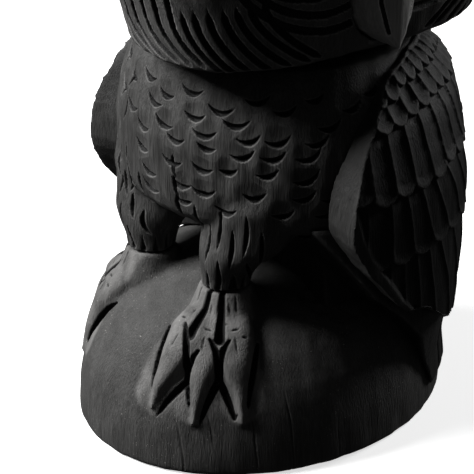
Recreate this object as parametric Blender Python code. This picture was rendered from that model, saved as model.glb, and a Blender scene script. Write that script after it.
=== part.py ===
"""A carved wooden owl standing on a rounded base, put together from separate blocks of wood.

Metres, +Z up. The base stands on z = 0 with its centre at the origin. The body faces -Y, the
owl's own left side is +X, and the head is turned to that side.
"""

import bmesh
import bpy
from math import atan2, copysign, cos, hypot, pi, radians, sin
from mathutils import Matrix, Vector

# Fits and mesh fineness
GAP = 0.0003
BEAK_GAP = 0.0007
SIDES = 64
DOWEL_SIDES = 24

# Base: an oval mound that the feet are carved on
BASE_HALF_WIDTH = 0.0823
BASE_FRONT = 0.1005
BASE_BACK = 0.0960
MOUND_PROFILE = (
    # height, share of the full oval
    (0.0000, 0.985),
    (0.0020, 1.000),
    (0.0150, 0.992),
    (0.0280, 0.968),
    (0.0420, 0.920),
    (0.0560, 0.835),
    (0.0660, 0.730),
    (0.0740, 0.600),
    (0.0800, 0.430),
    (0.0832, 0.230),
    (0.0840, 0.040),
)

# Feet: three toes each, named by where the claw tip sits round the base, in degrees from the front
ANKLE_X = 0.027
ANKLE_Y = -0.050
ANKLE_Z = 0.0840
INSTEP_ROWS = (
    # depth below the ankle's joint, radius
    (0.025, 0.0175),
    (0.013, 0.0175),
    (0.004, 0.0138),
    (0.000, 0.0125),
)
LEFT_TOES = ((17.0, 0.96), (31.5, 0.972), (46.5, 0.97))
RIGHT_TOES = ((-33.0, 0.965), (-48.0, 0.955), (-64.0, 0.95))
TOE_HALF_WIDTH = 0.0118
TOE_HEIGHT = 0.0088
TOE_START_SHARE = 0.78
KNUCKLE_AT = 0.55
TOE_ROOF_POWER = 0.62

# Torso and the larger outline that the wings reach
BODY_Y = 0.008
TORSO_ROWS = (
    # height, half width, depth to the front, depth to the back
    (0.1060, 0.0560, 0.0480, 0.0440),
    (0.1100, 0.0680, 0.0620, 0.0570),
    (0.1160, 0.0750, 0.0715, 0.0665),
    (0.1240, 0.0785, 0.0755, 0.0695),
    (0.1450, 0.0795, 0.0765, 0.0700),
    (0.1600, 0.0780, 0.0755, 0.0700),
    (0.1750, 0.0730, 0.0720, 0.0670),
    (0.1850, 0.0680, 0.0680, 0.0630),
    (0.1900, 0.0640, 0.0640, 0.0590),
)
WING_ROWS = (
    (0.0440, 0.0925, 0.0800, 0.0830),
    (0.0600, 0.0950, 0.0820, 0.0825),
    (0.0850, 0.0985, 0.0830, 0.0815),
    (0.1150, 0.0990, 0.0830, 0.0820),
    (0.1320, 0.0985, 0.0830, 0.0815),
    (0.1450, 0.0955, 0.0830, 0.0815),
    (0.1560, 0.0915, 0.0820, 0.0815),
    (0.1650, 0.0880, 0.0800, 0.0820),
    (0.1720, 0.0835, 0.0780, 0.0820),
    (0.1780, 0.0790, 0.0750, 0.0780),
    (0.1860, 0.0730, 0.0700, 0.0700),
    (0.1900, 0.0680, 0.0660, 0.0640),
)
WING_FRONT_POWER = 3.0
INNER_OFFSET = 0.014
THIGH_ROWS = (
    # height, centre x, centre y, half width, depth
    (0.0844, 0.0270, -0.0500, 0.0120, 0.0120),
    (0.0900, 0.0275, -0.0495, 0.0126, 0.0130),
    (0.0950, 0.0285, -0.0485, 0.0145, 0.0150),
    (0.1020, 0.0305, -0.0440, 0.0195, 0.0195),
    (0.1090, 0.0315, -0.0390, 0.0225, 0.0225),
    (0.1180, 0.0325, -0.0350, 0.0245, 0.0250),
    (0.1350, 0.0340, -0.0280, 0.0260, 0.0290),
    (0.1600, 0.0300, -0.0100, 0.0250, 0.0250),
)

# Side outline of a folded wing, as (y, z): shoulder, front edge, knee, slanting edge, feather tips
WING_OUTLINE = (
    (0.0300, 0.1920),
    (0.0020, 0.1850),
    (-0.0080, 0.1770),
    (-0.0195, 0.1650),
    (-0.0260, 0.1560),
    (-0.0325, 0.1420),
    (-0.0350, 0.1300),
    (-0.0345, 0.1190),
    (-0.0245, 0.1030),
    (-0.0125, 0.0900),
    (-0.0025, 0.0790),
    (0.0150, 0.0730),
    (0.0320, 0.0600),
    (0.0500, 0.0520),
    (0.0700, 0.0500),
    (0.1000, 0.0480),
    (0.1000, 0.1920),
)
WING_FRONT_POINTS = 15
WING_PARTING = 0.003
WING_FRONT_SLANT = 0.26
WING_OUTER_X = 0.094
RIGHT_WING_DROP = 0.008

# Tail block: from the rump down over the back of the base
TAIL_ROWS = (
    (0.0100, 0.0800, 0.0700, 0.0870),
    (0.0160, 0.0825, 0.0720, 0.0890),
    (0.0300, 0.0815, 0.0740, 0.0865),
    (0.0450, 0.0835, 0.0760, 0.0870),
    (0.0600, 0.0860, 0.0780, 0.0860),
    (0.0900, 0.0830, 0.0780, 0.0790),
    (0.1176, 0.0780, 0.0760, 0.0700),
)
RUMP_HALF_WIDTH = 0.058
RUMP_FRONT = ((-0.0180, 0.1176), (-0.0150, 0.0700), (0.0100, 0.0600), (0.0300, 0.1176))
TAIL_FRONT = ((-0.0330, 0.1176), (-0.0055, 0.0790), (0.0095, 0.0657), (0.0260, 0.0480), (0.0450, 0.0100))

# Head: turned to the owl's left, wider than it is deep
HEAD_TURN = radians(80.0)
HEAD_TILT = 0.058
HEAD_TILT_RISE = 0.010
HEAD_FORWARD = 0.015
HEAD_HALF_WIDTH = 0.097
HEAD_DEPTH_FRONT = 0.072
HEAD_DEPTH_BACK = 0.074
FACE_POWER = 2.8
HEAD_PROFILE = (
    # height, share of the full width and depth
    (0.1904, 0.700),
    (0.1945, 0.770),
    (0.1985, 0.815),
    (0.2020, 0.842),
    (0.2100, 0.865),
    (0.2250, 0.905),
    (0.2400, 0.955),
    (0.2560, 0.995),
    (0.2660, 1.000),
    (0.2780, 0.975),
    (0.2920, 0.915),
    (0.3050, 0.815),
    (0.3160, 0.675),
    (0.3240, 0.500),
    (0.3285, 0.300),
    (0.3300, 0.080),
)
DISH_RADIUS = 0.075
DISH_DEPTH = 0.005
EYE_SIDE = 0.038
EYE_Z = 0.262
EYE_RADIUS = 0.017
EYE_HEIGHT = 0.010
EYE_PEG_RADIUS = 0.005
BEAK_TIP_Z = 0.205
BEAK_TOP_Z = 0.266
BEAK_REACH = 0.0935
BEAK_HALF_WIDTH = 0.0165

# Dowels: radius and length
NECK_DOWEL = (0.010, 0.060)
LEG_DOWEL = (0.005, 0.060)
WING_DOWEL = (0.004, 0.026)
TAIL_DOWEL = (0.006, 0.040)

BLACK_STAIN = (0.022, 0.021, 0.020)


def clear_scene():
    for obj in list(bpy.data.objects):
        bpy.data.objects.remove(obj, do_unlink=True)


def wood(name, color=BLACK_STAIN, roughness=0.55):
    material = bpy.data.materials.new(name)
    material.use_nodes = True
    shader = material.node_tree.nodes["Principled BSDF"]
    shader.inputs["Base Color"].default_value = (*color, 1.0)
    shader.inputs["Roughness"].default_value = roughness
    shader.inputs["Metallic"].default_value = 0.0
    material.diffuse_color = (*color, 1.0)
    return material


def new_object(name, mesh_builder):
    """Turns a bmesh into an object of the scene, with its faces pointing outwards."""
    bmesh.ops.recalc_face_normals(mesh_builder, faces=mesh_builder.faces)
    mesh = bpy.data.meshes.new(name)
    mesh_builder.to_mesh(mesh)
    mesh_builder.free()
    obj = bpy.data.objects.new(name, mesh)
    bpy.context.scene.collection.objects.link(obj)
    return obj


def loft(name, outlines):
    """A closed solid through outlines that all have the same number of points."""
    builder = bmesh.new()
    rings = [[builder.verts.new(point) for point in outline] for outline in outlines]
    count = len(rings[0])
    for lower, upper in zip(rings, rings[1:]):
        for index in range(count):
            after = (index + 1) % count
            builder.faces.new((lower[index], lower[after], upper[after], upper[index]))
    builder.faces.new(rings[0][::-1])
    builder.faces.new(rings[-1])
    return new_object(name, builder)


def smooth_rows(rows, steps=2):
    """Adds rows between the given ones on a Catmull-Rom curve through them."""
    dense = []
    for index in range(len(rows) - 1):
        before = rows[max(index - 1, 0)]
        start, end = rows[index], rows[index + 1]
        after = rows[min(index + 2, len(rows) - 1)]
        for step in range(steps):
            t = step / steps
            dense.append(tuple(catmull_rom(*four, t) for four in zip(before, start, end, after)))
    dense.append(tuple(rows[-1]))
    return dense


def catmull_rom(before, start, end, after, t):
    slope_in = (end - before) / 2
    slope_out = (after - start) / 2
    rise = end - start
    return (
        start
        + slope_in * t
        + (3 * rise - 2 * slope_in - slope_out) * t**2
        + (slope_in + slope_out - 2 * rise) * t**3
    )


def oval(z, half_width, front, back, centre=(0.0, 0.0), turn=0.0, sides=SIDES, power=2.0):
    """A level oval outline, with its own depth to the front, where a higher power is squarer."""
    points = []
    for index in range(sides):
        angle = 2 * pi * index / sides
        along, across = cos(angle), sin(angle)
        x, y = half_width * along, back * across
        if across < 0:
            x = half_width * copysign(abs(along) ** (2 / power), along)
            y = -front * abs(across) ** (2 / power)
        x, y = x * cos(turn) - y * sin(turn), x * sin(turn) + y * cos(turn)
        points.append(Vector((centre[0] + x, centre[1] + y, z)))
    return points


def body_loft(name, rows, power=2.0):
    outlines = [
        oval(z, width, front, back, (0.0, BODY_Y), power=power)
        for z, width, front, back in smooth_rows(rows)
    ]
    return loft(name, outlines)


def prism(name, outline, axis, low, high):
    """A flat outline pushed along X or Y; the outline's points give the other two coordinates."""
    places = {
        "X": lambda along, point: Vector((along, point[0], point[1])),
        "Y": lambda along, point: Vector((point[0], along, point[1])),
    }
    return loft(name, [[places[axis](along, point) for point in outline] for along in (low, high)])


def cylinder(name, radius, start, end, sides=DOWEL_SIDES):
    """A round bar from one point to another."""
    start, end = Vector(start), Vector(end)
    frame = (end - start).to_track_quat("Z", "Y").to_matrix()
    outlines = []
    for centre in (start, end):
        angles = (2 * pi * index / sides for index in range(sides))
        outlines.append([centre + frame @ Vector((radius * cos(a), radius * sin(a), 0)) for a in angles])
    return loft(name, outlines)


def evaluated_copy(obj):
    bpy.context.view_layer.update()
    graph = bpy.context.evaluated_depsgraph_get()
    return bpy.data.meshes.new_from_object(obj.evaluated_get(graph))


def apply_modifiers(obj):
    mesh = evaluated_copy(obj)
    obj.modifiers.clear()
    obj.data = mesh


def combine(obj, other, operation, keep=False):
    """Applies a Boolean of `other` to `obj`, and removes `other` unless it is kept."""
    modifier = obj.modifiers.new(operation.lower(), "BOOLEAN")
    modifier.operation = operation
    modifier.object = other
    apply_modifiers(obj)
    if not keep:
        bpy.data.objects.remove(other, do_unlink=True)


def grown_copy(obj, by):
    """A copy of a solid that is larger all round, to leave room for the original."""
    builder = bmesh.new()
    builder.from_mesh(obj.data)
    bmesh.ops.triangulate(builder, faces=builder.faces)
    builder.normal_update()
    moves = {}
    for vert in builder.verts:
        normals = [face.normal for face in vert.link_faces]
        direction = vert.normal
        tightest = min(max(direction.dot(normal), 0.45) for normal in normals)
        moves[vert] = direction * (by / tightest)
    for vert, move in moves.items():
        vert.co += move
    return new_object(obj.name + "_room", builder)


def make_room(obj, neighbours, by=GAP):
    """Cuts each neighbour, with the gap round it, out of a solid."""
    for neighbour in neighbours:
        combine(obj, grown_copy(neighbour, by), "DIFFERENCE")


def keep_largest_body(obj):
    """Drops the crumbs that a cut can leave beside the piece itself."""
    builder = bmesh.new()
    builder.from_mesh(obj.data)
    left = set(builder.verts)
    bodies = []
    while left:
        body, edge = set(), [left.pop()]
        while edge:
            vert = edge.pop()
            body.add(vert)
            linked = {link.other_vert(vert) for link in vert.link_edges} & left
            left -= linked
            edge.extend(linked)
        bodies.append(body)
    bodies.sort(key=spread, reverse=True)
    crumbs = [vert for body in bodies[1:] for vert in body]
    bmesh.ops.delete(builder, geom=crumbs, context="VERTS")
    builder.to_mesh(obj.data)
    builder.free()


def spread(verts):
    """The sum of the sides of the box round some vertices."""
    total = 0.0
    for axis in range(3):
        places = [vert.co[axis] for vert in verts]
        total += max(places) - min(places)
    return total


def finish(obj, material, sharp_angle=35.0):
    """Cleans a piece's mesh, and gives it its own material and smooth shading."""
    builder = bmesh.new()
    builder.from_mesh(obj.data)
    bmesh.ops.remove_doubles(builder, verts=builder.verts, dist=1e-6)
    bmesh.ops.dissolve_degenerate(builder, edges=builder.edges, dist=1e-6)
    builder.to_mesh(obj.data)
    builder.free()
    obj.data.materials.clear()
    obj.data.materials.append(material)
    obj.data.shade_smooth()
    obj.data.set_sharp_from_angle(angle=radians(sharp_angle))


# Base ----------------------------------------------------------------------------------------


def mound_height(share):
    """The height at which the mound has this share of its full oval."""
    for (z0, share0), (z1, share1) in zip(MOUND_PROFILE[1:], MOUND_PROFILE[2:]):
        if share >= share1:
            return z0 + (z1 - z0) * (share0 - share) / (share0 - share1)
    return MOUND_PROFILE[-1][0]


def on_mound(angle, share):
    """A point on the mound: angle from the front towards +X, and share of the full oval."""
    x = BASE_HALF_WIDTH * share * sin(angle)
    y = -BASE_FRONT * share * cos(angle)
    return Vector((x, y, mound_height(share)))


def make_mound():
    outlines = []
    for z, share in smooth_rows(MOUND_PROFILE):
        outlines.append(oval(z, BASE_HALF_WIDTH * share, BASE_FRONT * share, BASE_BACK * share))
    return loft("mound", outlines)


def make_toe(ankle, tip_angle, tip_share):
    """A ridge that runs from the ankle down the mound, with a knuckle and a tapered claw."""
    start_angle = atan2(ankle.x / BASE_HALF_WIDTH, -ankle.y / BASE_FRONT)
    start_share = hypot(ankle.x / BASE_HALF_WIDTH, ankle.y / BASE_FRONT)
    steps = 9
    spine = []
    for step in range(steps + 1):
        t = step / steps
        angle = start_angle + (tip_angle - start_angle) * t**0.8
        spine.append(on_mound(angle, start_share + (tip_share - start_share) * t))
    outlines = []
    for step, centre in enumerate(spine):
        t = step / steps
        along = (spine[min(step + 1, steps)] - spine[max(step - 1, 0)]).normalized()
        outward = Vector((centre.x / BASE_HALF_WIDTH**2, centre.y / BASE_FRONT**2, 0)).normalized()
        across = along.cross(Vector((0, 0, 1)) + outward * 0.3).normalized()
        lift = across.cross(along).normalized()
        if t <= KNUCKLE_AT:
            width = TOE_HALF_WIDTH * (TOE_START_SHARE + (1 - TOE_START_SHARE) * t / KNUCKLE_AT)
            height = TOE_HEIGHT * (1.0 - 0.05 * t / KNUCKLE_AT)
        else:
            claw = (t - KNUCKLE_AT) / (1 - KNUCKLE_AT)
            width = TOE_HALF_WIDTH * (0.86 - 0.76 * claw)
            height = TOE_HEIGHT * (0.90 - 0.62 * claw)
        outlines.append(toe_outline(centre, across * width, lift * height))
    return loft("toe", outlines)


def toe_outline(centre, across, lift):
    """A ridge section: a rounded roof above the mound, with its root sunk into it."""
    points = [
        centre + across * cos(pi * index / 8) + lift * sin(pi * index / 8) ** TOE_ROOF_POWER
        for index in range(9)
    ]
    return points + [centre - across * 0.6 - lift * 0.8, centre + across * 0.6 - lift * 0.8]


def make_foot(side, toes):
    ankle = Vector((side * ANKLE_X, ANKLE_Y, ANKLE_Z))
    rings = []
    for drop, radius in INSTEP_ROWS:
        rings.append(oval(ankle.z - drop, radius, radius, radius, (ankle.x, ankle.y), sides=SIDES // 2))
    foot = loft("foot", rings)
    for tip_angle, tip_share in toes:
        combine(foot, make_toe(ankle, radians(tip_angle), tip_share), "UNION")
    return foot


def make_base(dowels):
    """The mound and both feet, carved from one block."""
    base = make_mound()
    base.name = "base_block"
    combine(base, make_foot(1, LEFT_TOES), "UNION")
    combine(base, make_foot(-1, RIGHT_TOES), "UNION")
    make_room(base, dowels)
    keep_largest_body(base)
    return base


# Body, wings and tail ------------------------------------------------------------------------


def make_body(neighbours):
    body = body_loft("body_block", TORSO_ROWS)
    for side in (1, -1):
        outlines = [
            oval(z, width, depth, depth, (side * x, y), sides=SIDES // 2)
            for z, x, y, width, depth in smooth_rows(THIGH_ROWS)
        ]
        combine(body, loft("thigh", outlines), "UNION")
    make_room(body, neighbours)
    keep_largest_body(body)
    return body


def make_wing(name, side, drop, neighbours):
    """A shell between the body and the wings' outline, trimmed to the folded wing's side view."""
    wing = body_loft(name, WING_ROWS, WING_FRONT_POWER)
    front = smooth_rows(WING_OUTLINE[:WING_FRONT_POINTS])
    outline = [(y, z - drop * lowering(z)) for y, z in front + list(WING_OUTLINE[WING_FRONT_POINTS:])]
    reach = sorted((side * WING_PARTING, side * 0.2))
    side_view = prism("side_view", outline, "X", *reach)
    for vert in side_view.data.vertices:
        vert.co.y += WING_FRONT_SLANT * (WING_OUTER_X - abs(vert.co.x))
    combine(wing, side_view, "INTERSECT")
    inner_rows = [
        (z, width - INNER_OFFSET, front - INNER_OFFSET, back - INNER_OFFSET)
        for z, width, front, back in WING_ROWS[:6]
    ]
    inner_rows[0] = (0.03, *inner_rows[0][1:])
    combine(wing, body_loft("inside", inner_rows), "DIFFERENCE")
    make_room(wing, neighbours)
    keep_largest_body(wing)
    return wing


def lowering(z):
    """How much of a lower wing's drop applies at a height: all at the knee, none at the shoulder."""
    return min(1.0, max(0.0, (0.180 - z) / 0.040))


def make_tail(neighbours):
    tail = body_loft("tail_block", TAIL_ROWS)
    outline = list(TAIL_FRONT) + [(0.2, TAIL_FRONT[-1][1]), (0.2, TAIL_FRONT[0][1])]
    behind_legs = prism("behind_legs", outline, "X", -0.2, 0.2)
    combine(behind_legs, prism("rump", RUMP_FRONT, "X", -RUMP_HALF_WIDTH, RUMP_HALF_WIDTH), "UNION")
    combine(tail, behind_legs, "INTERSECT")
    make_room(tail, neighbours)
    keep_largest_body(tail)
    return tail


# Head ----------------------------------------------------------------------------------------


def head_point(side, forward, z):
    """A point given from the neck's axis: side is across the face, towards +Y at a full turn."""
    across = Vector((cos(HEAD_TURN), sin(HEAD_TURN), 0))
    ahead = Vector((sin(HEAD_TURN), -cos(HEAD_TURN), 0))
    return Vector((0, BODY_Y, z)) + across * side + ahead * forward


def face_forward(side):
    """How far the plain face reaches from the neck's axis, at a distance to the side."""
    flat = 1 - (abs(side) / HEAD_HALF_WIDTH) ** FACE_POWER
    return HEAD_FORWARD + HEAD_DEPTH_FRONT * flat ** (1 / FACE_POWER)


def make_eye(name, side):
    """A turned dome with a peg, pushed into the face."""
    facing = head_point(side * 1.25, face_forward(side) + 0.03, EYE_Z) - head_point(side, 0, EYE_Z)
    facing.normalize()
    centre = head_point(side, face_forward(side) - DISH_DEPTH, EYE_Z + HEAD_TILT * side)
    rows = 7
    outlines = []
    frame = facing.to_track_quat("Z", "Y").to_matrix()
    profile = [(EYE_PEG_RADIUS, -0.016), (EYE_PEG_RADIUS, -0.005)]
    for step in range(rows):
        turn = pi / 2 * step / rows
        profile.append((EYE_RADIUS * cos(turn), EYE_HEIGHT * sin(turn) - 0.003))
    profile.insert(2, (EYE_RADIUS, -0.005))
    for radius, height in profile:
        angles = (2 * pi * index / 32 for index in range(32))
        outlines.append([centre + frame @ Vector((radius * cos(a), radius * sin(a), height)) for a in angles])
    return loft(name, outlines)


def make_beak():
    """A wedge with a rounded ridge, widest above its middle, and a round tenon for the face."""
    steps = 10
    outlines = []
    for step in range(steps + 1):
        t = step / steps
        z = BEAK_TIP_Z + (BEAK_TOP_Z - BEAK_TIP_Z) * t
        width = BEAK_HALF_WIDTH * (0.10 + 0.90 * sin(pi * t**0.8) ** 0.75)
        ridge = BEAK_REACH + 0.001 * sin(pi * t) - 0.003 * t
        root = face_forward(0) - 0.022
        turns = [pi * index / 10 for index in range(11)]
        outline = [(width * cos(turn), root + (ridge - root) * sin(turn) ** 0.75) for turn in turns]
        outlines.append([head_point(side, forward, z) for side, forward in outline])
    beak = loft("beak", outlines)
    middle = (BEAK_TIP_Z + BEAK_TOP_Z) / 2
    tenon_start = head_point(0, face_forward(0) - 0.036, middle)
    tenon_end = head_point(0, face_forward(0) - 0.012, middle)
    combine(beak, cylinder("tenon", 0.007, tenon_start, tenon_end), "UNION")
    return beak


def make_head(neighbours, beak):
    outlines = []
    for z, share in smooth_rows(HEAD_PROFILE):
        tilt = HEAD_TILT * min(1.0, (z - HEAD_PROFILE[0][0]) / HEAD_TILT_RISE)
        sizes = (HEAD_HALF_WIDTH * share, HEAD_DEPTH_FRONT * share, HEAD_DEPTH_BACK * share)
        ring = oval(z, *sizes, power=FACE_POWER)
        forward = HEAD_FORWARD * min(1.0, (z - HEAD_PROFILE[0][0]) / HEAD_TILT_RISE)
        outlines.append([head_point(x, forward - y, z + tilt * x) for x, y, z in ring])
    head = loft("head_block", outlines)
    for side in (-1, 1):
        combine(head, make_dish(side), "DIFFERENCE")
    make_room(head, neighbours)
    make_room(head, [beak], BEAK_GAP)
    keep_largest_body(head)
    return head


def make_dish(side):
    """A ball that hollows the face round one eye."""
    ahead = head_point(0, 1, 0) - head_point(0, 0, 0)
    deepest = head_point(side * EYE_SIDE, face_forward(EYE_SIDE) - DISH_DEPTH, EYE_Z)
    outwards = ahead + (head_point(side, 0, 0) - head_point(0, 0, 0)) * 0.35
    centre = deepest + outwards.normalized() * DISH_RADIUS
    builder = bmesh.new()
    bmesh.ops.create_icosphere(builder, subdivisions=4, radius=DISH_RADIUS, matrix=Matrix.Translation(centre))
    return new_object("dish", builder)


# Assembly ------------------------------------------------------------------------------------


def upright_dowel(name, size, x, y, middle):
    radius, length = size
    return cylinder(name, radius, (x, y, middle - length / 2), (x, y, middle + length / 2))


def wing_dowel(name, side, y, z):
    """A dowel square to the side of the body, half in the body and half in the wing."""
    radius, length = WING_DOWEL
    outer = side * 0.0865
    return cylinder(name, radius, (outer, y, z), (outer - side * length, y, z))


def main():
    clear_scene()
    beech = (0.55, 0.38, 0.22)
    neck = upright_dowel("neck_dowel", NECK_DOWEL, 0, BODY_Y, 0.1902)
    legs = [
        upright_dowel("left_leg_dowel", LEG_DOWEL, ANKLE_X, ANKLE_Y, ANKLE_Z),
        upright_dowel("right_leg_dowel", LEG_DOWEL, -ANKLE_X, ANKLE_Y, ANKLE_Z),
    ]
    tails = [
        upright_dowel("tail_dowel_left", TAIL_DOWEL, 0.038, 0.028, 0.1178),
        upright_dowel("tail_dowel_right", TAIL_DOWEL, -0.038, 0.028, 0.1178),
    ]
    wing_dowels = [
        wing_dowel(f"{word}_wing_dowel_{place}", side, 0.012, z)
        for word, side in (("left", 1), ("right", -1))
        for place, z in (("upper", 0.148), ("lower", 0.124))
    ]
    mound = make_mound()
    base = make_base(legs)
    body = make_body([neck] + legs + tails + wing_dowels)
    torso = body_loft("torso", TORSO_ROWS)
    left_wing = make_wing("left_wing", 1, 0.0, [torso, mound] + wing_dowels[:2])
    right_wing = make_wing("right_wing", -1, RIGHT_WING_DROP, [torso, mound] + wing_dowels[2:])
    tail = make_tail([body, left_wing, right_wing, mound] + tails)
    for guide in (mound, torso):
        bpy.data.objects.remove(guide, do_unlink=True)
    eyes = [make_eye("left_eye", EYE_SIDE), make_eye("right_eye", -EYE_SIDE)]
    beak = make_beak()
    head = make_head([neck] + eyes, beak)

    for obj in (base, body, left_wing, right_wing, tail, head):
        finish(obj, wood(obj.name + "_wood"))
    finish(beak, wood("beak_wood", (0.020, 0.019, 0.018), 0.48))
    for eye in eyes:
        finish(eye, wood(eye.name + "_wood", (0.010, 0.010, 0.010), 0.30))
    for dowel in [neck] + legs + tails + wing_dowels:
        finish(dowel, wood(dowel.name + "_wood", beech, 0.6))


main()
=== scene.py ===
# The carved wooden owl on its base: each outer block becomes a finely meshed blank, and every cut of
# the knife is a stroke on it. Azimuths are degrees round the body's upright axis, 0 at the breast and
# 90 at the owl's left side (+X). Lengths are metres.

from math import cos, pi, radians, sin

import bmesh
import bpy
import numpy as np
from mathutils import Matrix, Vector
from mathutils.bvhtree import BVHTree


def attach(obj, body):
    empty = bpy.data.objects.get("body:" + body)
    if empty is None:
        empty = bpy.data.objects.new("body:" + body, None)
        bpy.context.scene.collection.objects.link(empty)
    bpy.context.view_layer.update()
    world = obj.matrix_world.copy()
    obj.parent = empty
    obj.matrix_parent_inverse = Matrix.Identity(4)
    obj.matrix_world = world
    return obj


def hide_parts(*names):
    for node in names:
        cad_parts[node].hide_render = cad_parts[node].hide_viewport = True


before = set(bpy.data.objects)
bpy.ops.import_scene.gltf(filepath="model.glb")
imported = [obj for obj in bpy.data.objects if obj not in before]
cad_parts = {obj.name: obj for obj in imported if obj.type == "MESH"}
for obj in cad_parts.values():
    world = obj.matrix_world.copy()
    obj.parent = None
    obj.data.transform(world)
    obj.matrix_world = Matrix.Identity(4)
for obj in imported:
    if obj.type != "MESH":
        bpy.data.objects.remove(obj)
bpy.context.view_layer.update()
random = np.random.default_rng(7)

UP = Vector((0, 0, 1))
DOWN = Vector((0, 0, -1))

# Places that the carving is laid out from, the same as in the CAD
BODY_Y = 0.008
FACE_AZIMUTH = 80.0
HEAD_TILT = 0.058  # rise for each metre across the face, towards its own left
FACE_RADIUS = 0.085
WING_RADIUS = 0.098
BASE_HALF_WIDTH = 0.0823
BASE_FRONT = 0.1005
ANKLE_X = 0.027
ANKLE_Y = -0.050
EYE_SIDE = 0.038
EYE_Z = 0.262

# Breast feathers: height of a row, azimuths of its nicks
BREAST_ROWS = (
    (0.1795, (-34, -9, 14, 39, 61, 84)),
    (0.1740, (-21, 2, 27, 49, 73)),
    (0.1680, (-30, -3, 16, 32, 64)),
    (0.1620, (-17, 4, 21, 37, 47, 60)),
    (0.1550, (-10, 9, 23, 35, 46, 57)),
    (0.1455, (-8, 7, 20, 31, 45, 56)),
    (0.1350, (-5, 10, 21, 38, 56, 67)),
    (0.1265, (-4, 12, 29, 49, 62)),
)


def smoothstep(low, high, value):
    t = np.clip((value - low) / (high - low), 0, 1)
    return t * t * (3 - 2 * t)


# Blanks and strokes --------------------------------------------------------------------------


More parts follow.
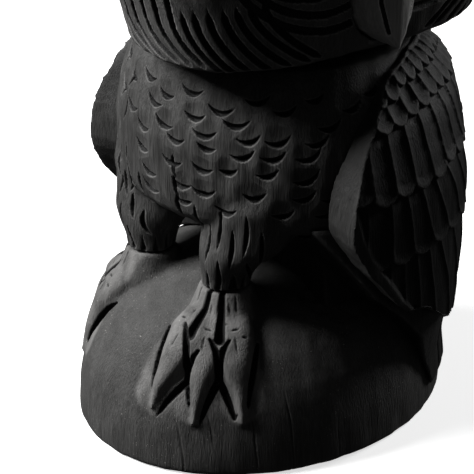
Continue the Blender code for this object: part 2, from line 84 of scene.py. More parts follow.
class Blank:
    """A fine, even mesh of one CAD node. For each of its points it keeps the depth of the cuts, whose
    floors get painted shade, the depth of the soft marks that get none, and how far the stain is rubbed
    away (on the toes also a painted highlight)."""

    RAY_START = 0.2  # further out than the surfaces that rays are cast at
    FULL_SHADE_AND_STAIN = 0.0012  # depth of a cut whose floor gets the darkest painted shade, with some pooled stain
    FULL_WEAR = 0.00015  # how far an edge stands out where the stain is all rubbed away

    def __init__(self, node, voxel, refine=None, smoothing=4):
        self.node = node
        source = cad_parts[node]
        self.tree = BVHTree.FromPolygons(
            [vert.co[:] for vert in source.data.vertices],
            [face.vertices[:] for face in source.data.polygons],
        )
        self.obj = bpy.data.objects.new("carved_" + node, source.data.copy())
        bpy.context.scene.collection.objects.link(self.obj)
        remesh = self.obj.modifiers.new("even", "REMESH")
        remesh.mode = "VOXEL"
        remesh.voxel_size = voxel
        smooth = self.obj.modifiers.new("smooth", "SMOOTH")
        smooth.iterations = smoothing
        smooth.factor = 0.5
        bpy.context.view_layer.update()
        graph = bpy.context.evaluated_depsgraph_get()
        mesh = bpy.data.meshes.new_from_object(self.obj.evaluated_get(graph))
        self.obj.modifiers.clear()
        self.obj.data = mesh
        if refine is not None:
            self.refine(refine)
        self.points = read(self.obj.data.vertices, "co")
        self.normals = read(self.obj.data.vertices, "normal")
        self.cut = np.zeros(len(self.points))
        self.soft = np.zeros(len(self.points))
        self.rubbed_and_sheen = np.zeros(len(self.points))
        relative = self.points - np.array((0, BODY_Y, 0))
        self.azimuth = np.degrees(np.arctan2(relative[:, 0], -relative[:, 1]))
        self.z = self.points[:, 2]

    def refine(self, wanted):
        """Halves the faces that look outwards where wanted(azimuth, z) says so."""
        builder = bmesh.new()
        builder.from_mesh(self.obj.data)
        edges = set()
        for face in builder.faces:
            middle = face.calc_center_median()
            azimuth = np.degrees(np.arctan2(middle.x, BODY_Y - middle.y))
            if wanted(azimuth, middle.z) and face.normal.dot((middle.x, middle.y - BODY_Y, 0)) > 0:
                edges.update(face.edges)
        bmesh.ops.subdivide_edges(builder, edges=list(edges), cuts=1, use_grid_fill=True)
        builder.to_mesh(self.obj.data)
        builder.free()

    def surface(self, azimuth, z):
        """The outermost point and its normal at an azimuth in degrees and a height."""
        outward = Vector((sin(radians(azimuth)), -cos(radians(azimuth)), 0))
        start = Vector((0, BODY_Y, z)) + outward * self.RAY_START
        point, normal, _, _ = self.tree.ray_cast(start, -outward)
        return point, normal

    def near(self, path, reach):
        """Numbers of the points inside a box round the path."""
        low, high = path.min(0) - reach, path.max(0) + reach
        return np.flatnonzero(((self.points > low) & (self.points < high)).all(1))

    def deepen(self, chosen, depth):
        """Cuts the chosen points to a depth, or leaves them where they are deeper already."""
        self.cut[chosen] = np.maximum(self.cut[chosen], depth)

    def groove(self, path, half_width, depth, round_floor=False):
        """A cut along a path. Half width and depth are one number or one for each of its points."""
        landed = [number for number, point in enumerate(path) if point is not None]
        if len(landed) < 2:
            return
        widths = np.broadcast_to(np.asarray(half_width, float), len(path))[landed]
        depths = np.broadcast_to(np.asarray(depth, float), len(path))[landed]
        path = np.array([path[number][:] for number in landed])
        chosen = self.near(path, widths.max())
        if not len(chosen):
            return
        along = path[1:] - path[:-1]
        from_start = self.points[chosen][:, None, :] - path[None, :-1, :]
        t = (from_start * along).sum(2) / np.maximum((along * along).sum(1), 1e-12)
        t = np.clip(t, 0, 1)
        distance = np.linalg.norm(from_start - t[..., None] * along, axis=2)
        width = widths[:-1] + t * (widths[1:] - widths[:-1])
        deep = depths[:-1] + t * (depths[1:] - depths[:-1])
        share = np.clip(1 - distance / np.maximum(width, 1e-6), 0, 1)
        share = np.sqrt(1 - (1 - share) ** 2) if round_floor else np.clip(share * 1.5, 0, 1)
        self.deepen(chosen, (deep * share).max(1))

    def lens(self, path, half_width, depth):
        """A long cut that is pointed at both ends."""
        swell = np.sin(np.linspace(0, pi, len(path))) ** 0.7
        self.groove(path, half_width * np.maximum(swell, 0.02), depth * swell)

    def nick(self, point, normal, half_width, height, depth, tilt=0.0, sag=0.72, wall_run=0.0006):
        """A smile-shaped gouge cut: it deepens downwards to a steep lower wall. Sag is how far its
        middle hangs below its ends, as a share of the half width."""
        if point is None:
            return
        across = UP.cross(normal).normalized()
        upward = normal.cross(across).normalized()
        turn = Matrix.Rotation(radians(tilt), 3, normal)
        across, upward = turn @ across, turn @ upward
        centre = np.array([point[:]])
        chosen = self.near(centre, half_width * 1.3)
        relative = self.points[chosen] - centre
        u = relative @ np.array(across[:]) / half_width
        v = relative @ np.array(upward[:])
        swell = np.clip(1 - u * u, 0, 1)
        lower_edge = -sag * half_width * swell + 0.35 * sag * half_width
        thickness = height * swell**1.1 + 1e-5
        q = (v - lower_edge) / thickness
        wall = np.clip(1 + (v - lower_edge) / wall_run, 0, 1)
        ramp = np.clip(1.4 - 1.4 * q, 0, 1) ** 0.8
        shape = np.where(q < 0, wall, ramp) * swell**0.5
        shape[np.abs(relative @ np.array(normal[:])) > half_width] = 0
        self.deepen(chosen, depth * shape)

    def swell(self, point, radius, depth):
        """A soft hollow that leaves the wood round it standing as a feather."""
        if point is None:
            return
        centre = np.array([point[:]])
        chosen = self.near(centre, radius)
        distance = np.linalg.norm(self.points[chosen] - centre, axis=1)
        self.soft[chosen] = np.maximum(self.soft[chosen], depth * smoothstep(radius, 0.0, distance))

    def facets(self, depth, size, stretch=1.0, share=1.0):
        """The shallow, uneven marks that flat tools leave, as a sum of waves about one size long."""
        waves = np.zeros(len(self.points))
        wave_count = 9
        for _ in range(wave_count):
            direction = random.normal(size=3)
            direction /= np.linalg.norm(direction)
            direction[2] /= stretch
            phase = random.uniform(0, 2 * pi)
            turns = self.points @ direction * (2 * pi / size) * random.uniform(0.6, 1.5)
            waves += np.sin(turns + phase)
        self.soft += share * depth * np.clip(0.5 + waves / wave_count, 0, 1)

    def release(self, material):
        """Moves the points in by the cuts, and puts the piece in place of its CAD node."""
        mesh = self.obj.data
        carved = self.points - self.normals * (self.cut + self.soft)[:, None]
        mesh.vertices.foreach_set("co", carved.astype(np.float32).ravel())
        mesh.update()
        self.store_shade_and_wear(mesh, carved)
        mesh.materials.clear()
        mesh.materials.append(material)
        mesh.shade_smooth()
        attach(self.obj, "root")
        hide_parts(self.node)

    def store_shade_and_wear(self, mesh, carved):
        """Stores how deep and how worn each point is: the depth for painted shade in the cuts, with
        some pooled stain, and the wear for lighter rubbed edges and, on the toes, a painted highlight.
        """
        ends = np.empty(len(mesh.edges) * 2, np.int32)
        mesh.edges.foreach_get("vertices", ends)
        first, second = ends.reshape(-1, 2).T
        both, other = np.concatenate([first, second]), np.concatenate([second, first])
        counts = np.maximum(np.bincount(both, minlength=len(carved)), 1)
        sums = [np.bincount(both, carved[other, axis], len(carved)) for axis in range(3)]
        mean = np.stack(sums, axis=1) / counts[:, None]
        exposed = ((carved - mean) * read(mesh.vertices, "normal")).sum(1)
        values = {
            "cut": np.clip(self.cut / self.FULL_SHADE_AND_STAIN, 0, 1),
            # Real wear on the edges, and on the toes also a painted highlight
            "worn_and_sheen": np.clip(exposed / self.FULL_WEAR + self.rubbed_and_sheen, 0, 1),
        }
        for name, value in values.items():
            attribute = mesh.attributes.new(name, "FLOAT", "POINT")
            attribute.data.foreach_set("value", value.astype(np.float32))


def read(items, name):
    """A vector property of all vertices, one row for each."""
    values = np.empty(len(items) * 3, np.float32)
    items.foreach_get(name, values)
    return values.reshape(-1, 3).astype(float)


# Body ----------------------------------------------------------------------------------------


def path_on(blank, stations):
    """Surface points for a run of (azimuth, z) stations."""
    return [blank.surface(azimuth, z)[0] for azimuth, z in stations]


def between(start, end, count=7, bow=0.0):
    """Stations from one (azimuth, z) to another, bowed sideways by some degrees in the middle."""
    stations = []
    for t in np.linspace(0, 1, count):
        azimuth = start[0] + (end[0] - start[0]) * t + bow * sin(pi * t)
        stations.append((azimuth, start[1] + (end[1] - start[1]) * t))
    return stations


def slit(body, azimuth, top, length, lean, bow, half_width, depth):
    """A long cut down from its top that leans by some degrees on its way."""
    path = path_on(body, between((azimuth, top), (azimuth + lean, top - length), bow=bow))
    body.lens(path, half_width, depth)


def carve_body(body):
    carve_breast(body)
    carve_flank(body)
    carve_thigh_parting(body)
    carve_legs(body)
    carve_ankle_fringe(body)
    body.facets(0.0007, 0.010, stretch=2.0)


def carve_breast(body):
    """Rows of crescents, each below a slightly raised feather. They tilt with the body's curve."""
    usual_half_width = 0.0060
    upright_azimuth = 22
    for z, azimuths in BREAST_ROWS:
        for azimuth in azimuths:
            wobble = random.normal(size=4)
            point, normal = body.surface(azimuth + wobble[0], z + 0.0008 * wobble[1])
            half_width = usual_half_width + 0.0006 * wobble[2]
            tilt = np.clip((azimuth - upright_azimuth) * 0.55, -18, 20) + 4 * wobble[3]
            body.swell(point, radius=0.0085, depth=0.0010)
            body.nick(point, normal, half_width, height=0.0024, depth=0.0018, tilt=tilt)


def carve_flank(body):
    """Long slits down the flank, in front of the far wing."""
    first_top, row_step, stagger = 0.178, 0.017, 0.005
    for column in range(4):
        for row in range(4):
            top = first_top - row_step * row - stagger * (column % 2) + random.uniform(-0.002, 0.002)
            slit(
                body, -22 - 6.5 * column, top, length=0.012, lean=-2, bow=1.0,
                half_width=0.0011, depth=0.0013,
            )


def carve_thigh_parting(body):
    """A broken line of slits between the thighs."""
    first_top, row_step = 0.148, 0.010
    for row in range(6):
        slit(
            body, 7.5 + 0.6 * row, first_top - row_step * row, length=0.013, lean=2 + 0.1 * row,
            bow=-0.8, half_width=0.0014, depth=0.0017,
        )


def carve_legs(body):
    """Slits for the feathers of thighs and legs, with every other column lower."""
    for column, azimuth in enumerate((16.5, 21.5, 26.5, 31.5, 36.5, 41.5)):
        for row in range(2):
            top = 0.1270 - 0.0235 * row - 0.008 * (column % 2)
            slit(body, azimuth, top, length=0.0220, lean=-1.0, bow=0.6, half_width=0.0013, depth=0.0020)
    for column, azimuth in enumerate((-12, -17, -22, -27, -32, -37)):
        for row in range(3):
            top = 0.131 - 0.0165 * row - 0.007 * (column % 2)
            slit(body, azimuth, top, length=0.0135, lean=2.5, bow=-0.8, half_width=0.0015, depth=0.0019)


def carve_ankle_fringe(body):
    """Short cuts round each ankle, where the leg's feathers end over the foot."""
    top, bottom, points = 0.0935, 0.0835, 6
    for step in range(11):
        azimuth = radians(30 * step - 150)
        outward = Vector((sin(azimuth), -cos(azimuth), 0))
        for side in (-1, 1):
            foot = Vector((side * ANKLE_X, ANKLE_Y, 0))
            path = []
            for z in np.linspace(top, bottom, points):
                outside = foot + outward * 0.03 + UP * z
                path.append(body.tree.ray_cast(outside, -outward)[0])
            body.groove(path, np.linspace(0.0003, 0.0016, points), np.linspace(0.0002, 0.0018, points))


# Wings and tail ------------------------------------------------------------------------------


# Lower edges of the wing's feather rows, and how many degrees a feather of each row takes
WING_ROW_EDGES = (0.176, 0.166, 0.1365, 0.1050, 0.040)
WING_FEATHERS = (6.0, 6.6, 7.2, 8.2, 8.8)
WING_TOP = 0.195
WING_LEDGE = 0.0012
LONG_FEATHERS_FROM = 3  # the first row whose feathers lean backwards
QUILL_LEAN = 260  # degrees for each metre down
TAIL_FEATHER = 7.0
TAIL_RADIUS = 0.088


def strip_azimuth(z):
    """Where the smooth leading strip of the wing ends, at a height."""
    heights = (0.050, 0.063, 0.085, 0.096, 0.113, 0.123, 0.137, 0.1525, 0.168, 0.180)
    azimuths = (99.0, 94.0, 82.6, 77.7, 70.7, 68.3, 66.2, 68.2, 73.5, 79.0)
    return np.interp(z, heights, azimuths)


def outward_of(blank):
    """The level direction from the body's axis to each point."""
    outward = blank.points - np.array((0, BODY_Y, 0))
    outward[:, 2] = 0
    return outward / np.maximum(np.linalg.norm(outward, axis=1), 1e-6)[:, None]


def facing_outwards(blank):
    return (blank.normals * outward_of(blank)).sum(1)


def carve_feather_rows(blank, azimuth, start):
    """Overlapping rows of hollow feathers. Each row ends in rounded tips above a ledge. The rows lie
    behind the azimuth where they start."""
    z = blank.z
    outside = smoothstep(0.0, 0.3, facing_outwards(blank))
    inside_rows = smoothstep(-0.0006, 0.0030, (azimuth - start) * radians(WING_RADIUS))
    depth = np.zeros(len(z))
    upper = np.full(len(z), WING_TOP)
    for number, (edge, pitch) in enumerate(zip(WING_ROW_EDGES, WING_FEATHERS)):
        leaning = (number >= LONG_FEATHERS_FROM) * smoothstep(72, 100, azimuth)
        column = (azimuth + (z - edge) * QUILL_LEAN * leaning) / pitch + 0.5 * (number % 2)
        feather = np.floor(column)
        across = np.abs(column - feather - 0.5) * 2
        uneven = random.normal(size=97)[feather.astype(int) % 97]
        rise_backwards = 0.006 * smoothstep(80, 110, azimuth)
        tip = edge + rise_backwards + 0.0013 * uneven + 0.0030 * across**2
        row = (z < upper) & (z >= tip)
        height = np.maximum(upper - tip, 1e-4)
        under = np.clip((z - tip) / height, 0, 1) ** 1.5
        hollow = 0.0008 * (1 - across**4) * smoothstep(0, 0.006, z - tip)
        overlap = 0.0004 * (column - feather)
        depth = np.where(row, WING_LEDGE * under + hollow + overlap, depth)
        upper = tip
    blank.deepen(slice(None), depth * outside * inside_rows)


def carve_wing(wing, side):
    azimuth = wing.azimuth * side
    azimuth = np.where(azimuth < -90, azimuth + 360, azimuth)
    carve_feather_rows(wing, azimuth, strip_azimuth(wing.z))
    wing.facets(0.0006, 0.012, stretch=3.0)


def carve_tail(tail):
    """Upright grooves between the tail's feathers, on its back only."""
    from_back = np.abs(np.where(tail.azimuth < 0, tail.azimuth + 360, tail.azimuth) - 180)
    column = from_back / TAIL_FEATHER
    across = np.abs(column - np.floor(column) - 0.5) * 2
    outside = smoothstep(0.3, 0.6, facing_outwards(tail)) * smoothstep(60, 54, from_back)
    feather_width = radians(TAIL_FEATHER) * TAIL_RADIUS
    groove = np.clip(1 - (1 - across) * feather_width / 2 / 0.0014, 0, 1)
    tail.deepen(slice(None), outside * (0.0016 * groove + 0.0006 * across**2))
    tail.facets(0.0003, 0.014, stretch=3.0)


# Head ----------------------------------------------------------------------------------------

# Azimuths of the disc's grooves on the side that faces forwards. From the ninth on, they start below
# a smooth band
DISC_GROOVES = (-24, -17, -10.5, -4.5, 1, 7, 12.6, 17.8, 21.6, 25.0, 28.8, 32.6, 35.8, 39.0, 42.4)
DISC_BAND_FROM = 8
DISC_GROOVE_HALF_WIDTH = 0.00175
DISC_GROOVE_DEPTH = 0.0024
DISC_STATIONS = 18
EYE_RINGS = (
    # radius, and where its middle lies across the face and in height
    (0.0215, 0.0380, 0.2620),
    (0.0258, 0.033, 0.2575),
    (0.0300, 0.028, 0.2530),
    (0.0352, 0.025, 0.2500),
)
FACE_EDGE = 0.078
BEAK_ROOT = 0.012
PUPIL_RADIUS = 0.0085


def face_station(turn, height):
    """(azimuth, z) for an angle from the middle of the face and a height before the head's tilt."""
    return FACE_AZIMUTH + turn, height + HEAD_TILT * FACE_RADIUS * sin(radians(turn))


def face_point(side, forward, z):
    """A place given across the face, out from the body's axis and in height."""
    turn = radians(FACE_AZIMUTH)
    across = Vector((cos(turn), sin(turn), 0))
    ahead = Vector((sin(turn), -cos(turn), 0))
    return Vector((0, BODY_Y, z)) + across * side + ahead * forward


def carve_head(head):
    for side in (-1, 1):
        carve_disc(head, side)
        carve_eye_rings(head, side)
    carve_nape(head)
    head.facets(0.0006, 0.011, stretch=2.0)


def carve_nape(head):
    """Nicks over the back of the head."""
    first_turn, last_turn, turn_step = 104, 256, 11
    for row in range(9):
        z = 0.212 + 0.0125 * row
        for column in range(15):
            turn = first_turn + turn_step * (column + 0.5 * (row % 2)) + random.normal() * 1.2
            if turn > last_turn:
                continue
            point, normal = head.surface(*face_station(turn, z + random.normal() * 0.0008))
            tilt = random.normal() * 4
            head.nick(point, normal, half_width=0.0062, height=0.0036, depth=0.0020, tilt=tilt)


def carve_disc(head, side):
    """Gouged grooves that run down the disc and sweep towards the chin. Those without a band above
    them also curve in over the brow."""
    for number, azimuth in enumerate(DISC_GROOVES):
        order = number - 3
        turn = FACE_AZIMUTH - azimuth
        bend = 0.2175 + 0.0017 * order
        bottom = 0.1985 + 0.0011 * max(0, order - 7)
        top = 0.2240 + 0.0010 * order if number >= DISC_BAND_FROM else 0.296 - 0.0030 * order
        sweep = min(17, 10 + 0.4 * (order - 5.7) ** 2)
        stations = []
        for height in np.linspace(top, bottom, DISC_STATIONS):
            low = np.clip((bend - height) / (bend - bottom), 0, 1)
            high = 220 * max(0.0, height - 0.250)
            stations.append(face_station(side * (turn - sweep * low**2 - high), height))
        share = np.linspace(0, 1, DISC_STATIONS)
        taper = np.clip(share / 0.18, 0.05, 1) * np.clip((1 - share) / 0.06, 0.5, 1)
        path = path_on(head, stations)
        head.groove(path, DISC_GROOVE_HALF_WIDTH * taper, DISC_GROOVE_DEPTH * taper)


def carve_eye_rings(head, side):
    """Wide, soft rings round the eye, drawn down towards the beak. They stop at the beak's root and
    at the edge of the face."""
    for radius, centre_side, centre_z in EYE_RINGS:
        path = []
        for angle in np.linspace(0, 2 * pi, 49):
            across = side * (centre_side + radius * cos(angle))
            height = centre_z + radius * sin(angle)
            if abs(across) > FACE_EDGE or side * across < BEAK_ROOT:
                carve_ring(head, path)
                path = []
                continue
            turn = np.degrees(np.arcsin(np.clip(across / FACE_RADIUS, -1, 1)))
            path.append(head.surface(*face_station(turn, height))[0])
        carve_ring(head, path)


def carve_ring(head, path):
    if len(path) > 3:
        head.groove(path, 0.0019, 0.0017, round_floor=True)


def snap_all(blank, points):
    """The nearest places on the surface."""
    return [blank.tree.find_nearest(point)[0] for point in points]


def carve_beak(beak):
    """The line of the mouth, two nostrils and three short scratches."""
    mouth_places = ((-0.0105, 0.240), (-0.0100, 0.226), (-0.0060, 0.212))
    mouth = [face_point(side, 0.092, z) for side, z in mouth_places]
    beak.groove(snap_all(beak, mouth), 0.0011, 0.0016)
    for side in (-1, 1):
        nostril = [face_point(side * 0.0085, 0.088, z) for z in (0.252, 0.246)]
        beak.groove(snap_all(beak, nostril), 0.0014, 0.0014)
    for number in range(3):
        z = 0.232 - 0.005 * number
        scratch = [face_point(0.009 + 0.001 * number, 0.088, z), face_point(0.0065, 0.09, z - 0.004)]
        beak.groove(snap_all(beak, scratch), 0.0006, 0.0006)
    beak.facets(0.0003, 0.008, stretch=2.0)


def carve_eye(eye, side):
    """A ring round the pupil."""
    ahead = np.array(face_point(0, 1, 0) - face_point(0, 0, 0))
    middle_of_eye = face_point(side * EYE_SIDE, 0, EYE_Z + HEAD_TILT * side * EYE_SIDE)
    relative = eye.points - np.array(middle_of_eye)
    relative -= np.outer(relative @ ahead, ahead)
    distance = np.linalg.norm(relative, axis=1)
    eye.cut = 0.0012 * np.clip(1 - np.abs(distance - PUPIL_RADIUS) / 0.0011, 0, 1)


# Base ----------------------------------------------------------------------------------------

# Where each claw ends: angle in the base's oval plan, and share of the way out to its edge
LEFT_TOES = ((17.0, 0.96), (31.5, 0.972), (46.5, 0.97))
RIGHT_TOES = ((-33.0, 0.965), (-48.0, 0.955), (-64.0, 0.95))
TOE_STATIONS = 20
KNUCKLE = 11
PARTING = slice(2, 14)
PARTING_STATIONS = 12
KNUCKLE_CREASES = ((-0.0040, 0.0042), (0.0006, 0.0050), (0.0046, 0.0034))  # place across, length
TOE_STROKES = (
    # place across the toe, first and last station
    (-0.0035, 4, 8),
    (0.0025, 6, 10),
    (-0.0008, 7, 10),
    (0.0, 12, 16),
)
DRYING_CHECKS = (
    # where it crosses the wall (y), lowest and highest point
    (-0.088, -0.01, 0.026),
    (-0.0785, 0.018, 0.033),
    (-0.0635, 0.004, 0.028),
    (-0.048, -0.01, 0.040),
    (-0.025, 0.002, 0.022),
)
ROUGH_PLACE = (0.047, -0.010)
ROUGH_SPREAD = 0.00035  # square metres


def carve_base(base):
    for side, tips in ((1, LEFT_TOES), (-1, RIGHT_TOES)):
        spines = [toe_spine(side, *tip) for tip in tips]
        for first, second in zip(spines, spines[1:]):
            path = drop_all(base, ((first + second) / 2)[PARTING])
            half_width = np.linspace(0.0008, 0.0027, PARTING_STATIONS)
            base.groove(path, half_width, np.linspace(0.0010, 0.0036, PARTING_STATIONS))
        for spine in spines:
            carve_toe(base, spine)
            rub_and_brighten_toe(base, spine)
    for y, low, high in DRYING_CHECKS:
        carve_check(base, y, low, high)
    base.facets(0.0005, 0.014, stretch=2.0)
    # Rough chisel marks left behind the near foot
    apart = ((base.points[:, :2] - np.array(ROUGH_PLACE)) ** 2).sum(1)
    rough = np.exp(-apart / ROUGH_SPREAD)
    for size in (0.0105, 0.0083, 0.0067):
        base.facets(0.0009, size, share=rough)


def drop_all(base, places):
    """The top of the base at places in plan."""
    return [base.tree.ray_cast(Vector((x, y, base.RAY_START)), DOWN)[0] for x, y in places]


def toe_spine(side, tip_angle, tip_share):
    """The middle of a toe in plan, from the ankle to the claw's tip, as in the CAD."""
    start = np.arctan2(side * ANKLE_X / BASE_HALF_WIDTH, -ANKLE_Y / BASE_FRONT)
    start_share = np.hypot(ANKLE_X / BASE_HALF_WIDTH, ANKLE_Y / BASE_FRONT)
    t = np.linspace(0, 1, TOE_STATIONS)
    angle = start + (radians(tip_angle) - start) * t**0.8
    share = start_share + (tip_share - start_share) * t
    x = BASE_HALF_WIDTH * share * np.sin(angle)
    y = -BASE_FRONT * share * np.cos(angle)
    return np.stack([x, y], axis=1)


def carve_toe(base, spine):
    """Cuts down both sides of a claw, creases over the knuckle and a few strokes along the toe."""
    along = np.gradient(spine, axis=0)
    along /= np.linalg.norm(along, axis=1)[:, None]
    across = np.stack([-along[:, 1], along[:, 0]], axis=1)
    claw = np.arange(KNUCKLE, TOE_STATIONS)
    claw_reach = 0.0020 + 0.0094 * np.linspace(1, 0, len(claw)) ** 0.9
    swell = np.sin(np.linspace(0.25, pi, len(claw))) ** 0.6
    for hand in (-1, 1):
        beside = spine[claw] + hand * across[claw] * claw_reach[:, None]
        base.groove(drop_all(base, beside), 0.0019 * swell, 0.0028 * swell)
    for offset, length in KNUCKLE_CREASES:
        reach = np.linspace(offset - length / 2, offset + length / 2, 4)[:, None]
        crease = spine[KNUCKLE] + across[KNUCKLE] * reach + along[KNUCKLE] * (0.6 * offset)
        base.lens(drop_all(base, crease), 0.0008, 0.0006)
    for offset, first, last in TOE_STROKES:
        stroke = spine[first:last] + across[first:last] * offset
        base.lens(drop_all(base, stroke), 0.0007, 0.0005)


def rub_and_brighten_toe(base, spine):
    """Rubs the stain from the top of a toe, and lightens it there as a painted highlight of its sheen.
    """
    path = np.array([point[:] for point in drop_all(base, spine)])
    apart = np.linalg.norm(base.points[:, None, :] - path[None, :, :], axis=2).min(1)
    base.rubbed_and_sheen = np.maximum(base.rubbed_and_sheen, smoothstep(0.0128, 0.0098, apart))


def carve_check(base, y, low, high):
    """A fine upright crack in the wall of the base, on its left side."""
    x, z = base.points[:, 0], base.points[:, 2]
    wander = 0.00015 * np.sin(z * 300)
    share = np.clip(1 - np.abs(base.points[:, 1] - y - wander) / 0.0005, 0, 1)
    length = smoothstep(low - 0.003, low + 0.003, z) * smoothstep(high + 0.006, high - 0.006, z)
    base.deepen(slice(None), 0.00035 * share * length * (x > 0))


# Materials -----------------------------------------------------------------------------------


class Recipe:
    """A material's nodes, with one call for each node and its links."""

    def __init__(self, name):
        self.material = bpy.data.materials.new(name)
        self.material.use_nodes = True
        self.tree = self.material.node_tree
        self.shader = self.tree.nodes["Principled BSDF"]

    def node(self, kind, settings=None, **inputs):
        made = self.tree.nodes.new(kind)
        for key, value in (settings or {}).items():
            setattr(made, key, value)
        for key, value in inputs.items():
            self.plug(made, key.replace("_", " "), value)
        return made

    def plug(self, node, name, value):
        socket = node.inputs[int(name)] if name.isdigit() else node.inputs[name]
        if isinstance(value, bpy.types.NodeSocket):
            self.tree.links.new(value, socket)
        else:
            socket.default_value = value

    def noise(self, scale, stretch, detail=4.0, roughness=0.6):
        """Noise in the object's own space, drawn out along the axes that the stretch makes small."""
        place = self.node("ShaderNodeTexCoord").outputs["Object"]
        place = self.node("ShaderNodeMapping", Vector=place, Scale=stretch).outputs["Vector"]
        made = self.node(
            "ShaderNodeTexNoise", Vector=place, Scale=scale, Detail=detail, Roughness=roughness
        )
        return made.outputs["Fac"]

    def ramp(self, value, low, high, out_low=0.0, out_high=1.0):
        """Maps low..high to out_low..out_high, and stops at both ends."""
        made = self.node("ShaderNodeMapRange", {"clamp": True}, Value=value)
        limits = {"From Min": low, "From Max": high, "To Min": out_low, "To Max": out_high}
        for name, number in limits.items():
            made.inputs[name].default_value = number
        return made.outputs["Result"]

    def math(self, operation, first, second):
        made = self.node("ShaderNodeMath", {"operation": operation})
        self.plug(made, "0", first)
        self.plug(made, "1", second)
        return made.outputs[0]

    def mix(self, share, first, second):
        made = self.node("ShaderNodeMix", {"data_type": "RGBA"})
        self.plug(made, "0", share)
        self.plug(made, "6", first)
        self.plug(made, "7", second)
        return made.outputs[2]

    def attribute(self, name):
        return self.node("ShaderNodeAttribute", {"attribute_name": name}).outputs["Fac"]


def warm_grey(value, green=0.99, blue=0.97):
    """A grey whose green and blue are slightly weaker than its red."""
    return (value, value * green, value * blue, 1)


# Near black for the floors of the cuts: painted shade, with some pooled stain
SHADE_AND_STAIN_FLOOR = (0.003, 0.003, 0.003, 1)
DUST = (0.35, 0.34, 0.32, 1)
# How much lighter the rubbed places are; on the toes this is partly a painted highlight
RUBBED_AND_SHEEN_LIGHTER = 2.8


def stained_wood(name, light, dark, rough=0.55, grain=1.0, dust=0.0):
    """Black stain on wood: upright grain, cut floors darkened as painted shade with some pooled stain,
    rubbed edges (on the toes also a painted highlight) and a little dust.
    """
    r = Recipe(name)
    streaks = r.noise(1300, (1, 1, 0.045), 5.0)
    broad = r.noise(120, (1, 1, 0.25), 3.0)
    pores = r.noise(3200, (1, 1, 0.06), 2.0)
    tone = r.math("ADD", r.math("MULTIPLY", streaks, 0.65), r.math("MULTIPLY", broad, 0.35))
    color = r.mix(r.ramp(tone, 0.36, 0.64), warm_grey(dark, 0.985, 0.96), warm_grey(light))
    # Lighter where rubbed: real wear on the edges, and on the toes also a painted highlight
    rubbed_and_sheen = r.math("MULTIPLY", r.attribute("worn_and_sheen"), r.ramp(broad, 0.35, 0.65, 0.3, 1.0))
    worn_and_sheen_color = warm_grey(light * RUBBED_AND_SHEEN_LIGHTER, 0.982, 0.964)
    color = r.mix(r.math("MULTIPLY", rubbed_and_sheen, 0.7), color, worn_and_sheen_color)
    # Painted shade in the cuts, with some stain pooled there: the deeper the cut, the nearer to black
    cut_shade_and_stain = r.ramp(r.attribute("cut"), 0.06, 0.50, 0.0, 0.94)
    color = r.mix(cut_shade_and_stain, color, SHADE_AND_STAIN_FLOOR)
    if dust:
        specks = r.ramp(r.noise(1500, (1, 1, 1), 1.0, 0.3), 0.735, 0.765)
        patches = r.ramp(r.noise(60, (1, 1, 1), 2.0), 0.42, 0.62)
        dusty = r.math("MULTIPLY", r.math("MULTIPLY", specks, patches), dust)
        color = r.mix(dusty, color, DUST)
    r.plug(r.shader, "Base Color", color)
    r.plug(r.shader, "Roughness", r.ramp(streaks, 0.3, 0.7, rough - 0.08, rough + 0.10))
    height = r.math("ADD", r.math("MULTIPLY", streaks, 0.7), r.math("MULTIPLY", pores, 0.3))
    bump = r.node("ShaderNodeBump", Strength=0.55 * grain, Distance=0.0010, Height=height)
    r.plug(r.shader, "Normal", bump.outputs["Normal"])
    r.shader.inputs["Specular IOR Level"].default_value = 0.15
    return r.material


def lacquer(name):
    """Glossy black lacquer over the turned eyes, with the grain just showing."""
    r = Recipe(name)
    streaks = r.noise(900, (1, 1, 0.08), 3.0)
    color = r.mix(r.ramp(streaks, 0.35, 0.65), (0.006, 0.006, 0.006, 1), (0.012, 0.0115, 0.011, 1))
    r.plug(r.shader, "Base Color", color)
    r.plug(r.shader, "Roughness", r.ramp(streaks, 0.3, 0.7, 0.22, 0.34))
    return r.material


def beech(name):
    """Bare beech for the dowels inside."""
    r = Recipe(name)
    streaks = r.noise(700, (1, 1, 0.05), 4.0)
    color = r.mix(r.ramp(streaks, 0.35, 0.65), (0.42, 0.27, 0.15, 1), (0.60, 0.42, 0.25, 1))
    r.plug(r.shader, "Base Color", color)
    r.plug(r.shader, "Roughness", r.ramp(streaks, 0.3, 0.7, 0.5, 0.68))
    bump = r.node("ShaderNodeBump", Strength=0.3, Distance=0.0004, Height=streaks)
    r.plug(r.shader, "Normal", bump.outputs["Normal"])
    return r.material


# Making the pieces ---------------------------------------------------------------------------

body = Blank("body_block", 0.0011, lambda azimuth, z: -42 < azimuth < 72 and z > 0.088)
carve_body(body)
body.release(stained_wood("stained_body_wood", 0.060, 0.022, grain=1.6))

# The wings' stain is darker than the body's: painted shade for wings in shadow
shaded_wing_wood = stained_wood("stained_wing_wood", 0.034, 0.014, grain=1.4)
left_wing = Blank("left_wing", 0.0012, lambda azimuth, z: 60 < azimuth < 124)
carve_wing(left_wing, 1)
left_wing.release(shaded_wing_wood)
right_wing = Blank("right_wing", 0.0012)
carve_wing(right_wing, -1)
right_wing.release(shaded_wing_wood)

tail = Blank("tail_block", 0.0012)
carve_tail(tail)
# The tail's stain is the darkest: painted shade for the tail in the shadow under the body
tail.release(stained_wood("stained_tail_wood", 0.020, 0.010, grain=1.2))

head = Blank("head_block", 0.0013, lambda azimuth, z: -12 < azimuth < 165 and z < 0.244)
carve_head(head)
# The head's stain is lighter than the body's: painted light for the lit face
head.release(stained_wood("stained_head_wood", 0.090, 0.042, grain=1.6))

beak = Blank("beak", 0.0006)
carve_beak(beak)
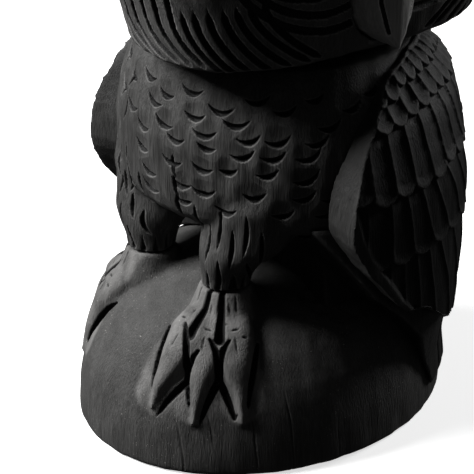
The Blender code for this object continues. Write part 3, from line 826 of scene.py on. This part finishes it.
# The beak's stain is far lighter than the rest: painted light on its lit flank
beak.release(stained_wood("stained_beak_wood", 0.30, 0.20, rough=0.5))

eye_lacquer = lacquer("lacquered_eye_wood")
for node, side in (("left_eye", 1), ("right_eye", -1)):
    eye = Blank(node, 0.0005)
    carve_eye(eye, side)
    eye.release(eye_lacquer)

base_wood = stained_wood("stained_base_wood", 0.070, 0.034, rough=0.6, grain=1.5, dust=0.8)
base = Blank("base_block", 0.0012, lambda azimuth, z: -40 < azimuth < 95 and z < 0.084, smoothing=10)
carve_base(base)
base.release(base_wood)

dowel_wood = beech("beech_dowel")
for name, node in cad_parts.items():
    if "dowel" in name:
        node.data.materials.clear()
        node.data.materials.append(dowel_wood)


# Stage, light and camera ---------------------------------------------------------------------

CAMERA_AZIMUTH = radians(48.0)
CAMERA_ELEVATION = radians(26.0)
CAMERA_DISTANCE = 0.900
CAMERA_TARGET = Vector((-0.03295, 0.01097, 0.06525))
CAMERA_LENS = 133.33
LIGHT_TARGET = Vector((0, 0, 0.12))
FLOOR_GLOW = 0.66
SHADOW_FILL = 0.035  # how much of the white surroundings reaches the wood


def add_object(name, data, location=(0, 0, 0)):
    obj = bpy.data.objects.new(name, data)
    obj.location = location
    bpy.context.scene.collection.objects.link(obj)
    return obj


def make_floor(size=12.0):
    """A plain pale floor that glows a little and throws no light up on the wood."""
    mesh = bpy.data.meshes.new("floor")
    half = size / 2
    corners = [(-half, -half, 0), (half, -half, 0), (half, half, 0), (-half, half, 0)]
    mesh.from_pydata(corners, [], [(0, 1, 2, 3)])
    floor = add_object("floor", mesh, (0, 0, -0.0002))
    material = bpy.data.materials.new("pale_floor")
    material.use_nodes = True
    shader = material.node_tree.nodes["Principled BSDF"]
    shader.inputs["Base Color"].default_value = (0.86, 0.86, 0.86, 1)
    shader.inputs["Roughness"].default_value = 0.9
    shader.inputs["Emission Color"].default_value = (1, 1, 1, 1)
    shader.inputs["Emission Strength"].default_value = FLOOR_GLOW
    mesh.materials.append(material)
    floor.visible_diffuse = False
    floor.visible_glossy = False


def add_area_light(name, offset, size, power):
    """A round, soft light at an offset from the middle of the owl, pointed at it."""
    light = bpy.data.lights.new(name, "AREA")
    light.shape = "DISK"
    light.size = size
    light.energy = power
    obj = add_object(name, light, LIGHT_TARGET + offset)
    obj.rotation_mode = "QUATERNION"
    obj.rotation_quaternion = (-offset).to_track_quat("-Z", "Y")


def make_camera(back):
    data = bpy.data.cameras.new("camera")
    data.lens = CAMERA_LENS
    camera = add_object("camera", data, CAMERA_TARGET + back * CAMERA_DISTANCE)
    camera.rotation_mode = "QUATERNION"
    camera.rotation_quaternion = back.to_track_quat("Z", "Y")
    bpy.context.scene.camera = camera


def make_world():
    """White all round for the camera, and a weak white fill for everything else."""
    world = bpy.data.worlds.new("studio")
    world.use_nodes = True
    nodes, links = world.node_tree.nodes, world.node_tree.links
    background = nodes["Background"]
    background.inputs["Color"].default_value = (1, 1, 1, 1)
    path_info = nodes.new("ShaderNodeLightPath")
    strength = nodes.new("ShaderNodeMapRange")
    strength.inputs["To Min"].default_value = SHADOW_FILL
    strength.inputs["To Max"].default_value = 1.0
    links.new(path_info.outputs["Is Camera Ray"], strength.inputs["Value"])
    links.new(strength.outputs["Result"], background.inputs["Strength"])
    bpy.context.scene.world = world


right = Vector((cos(CAMERA_AZIMUTH), sin(CAMERA_AZIMUTH), 0))
level_back = Vector((sin(CAMERA_AZIMUTH), -cos(CAMERA_AZIMUTH), 0))
make_camera(level_back * cos(CAMERA_ELEVATION) + UP * sin(CAMERA_ELEVATION))
make_floor()
add_area_light("key", right * -1.03 + level_back * 0.02 + UP * 0.92, size=0.7, power=48)
add_area_light("rim", right * 1.1 - level_back * 0.7 + UP * 0.5, size=0.5, power=9)
make_world()
bpy.context.scene.view_settings.view_transform = "Standard"
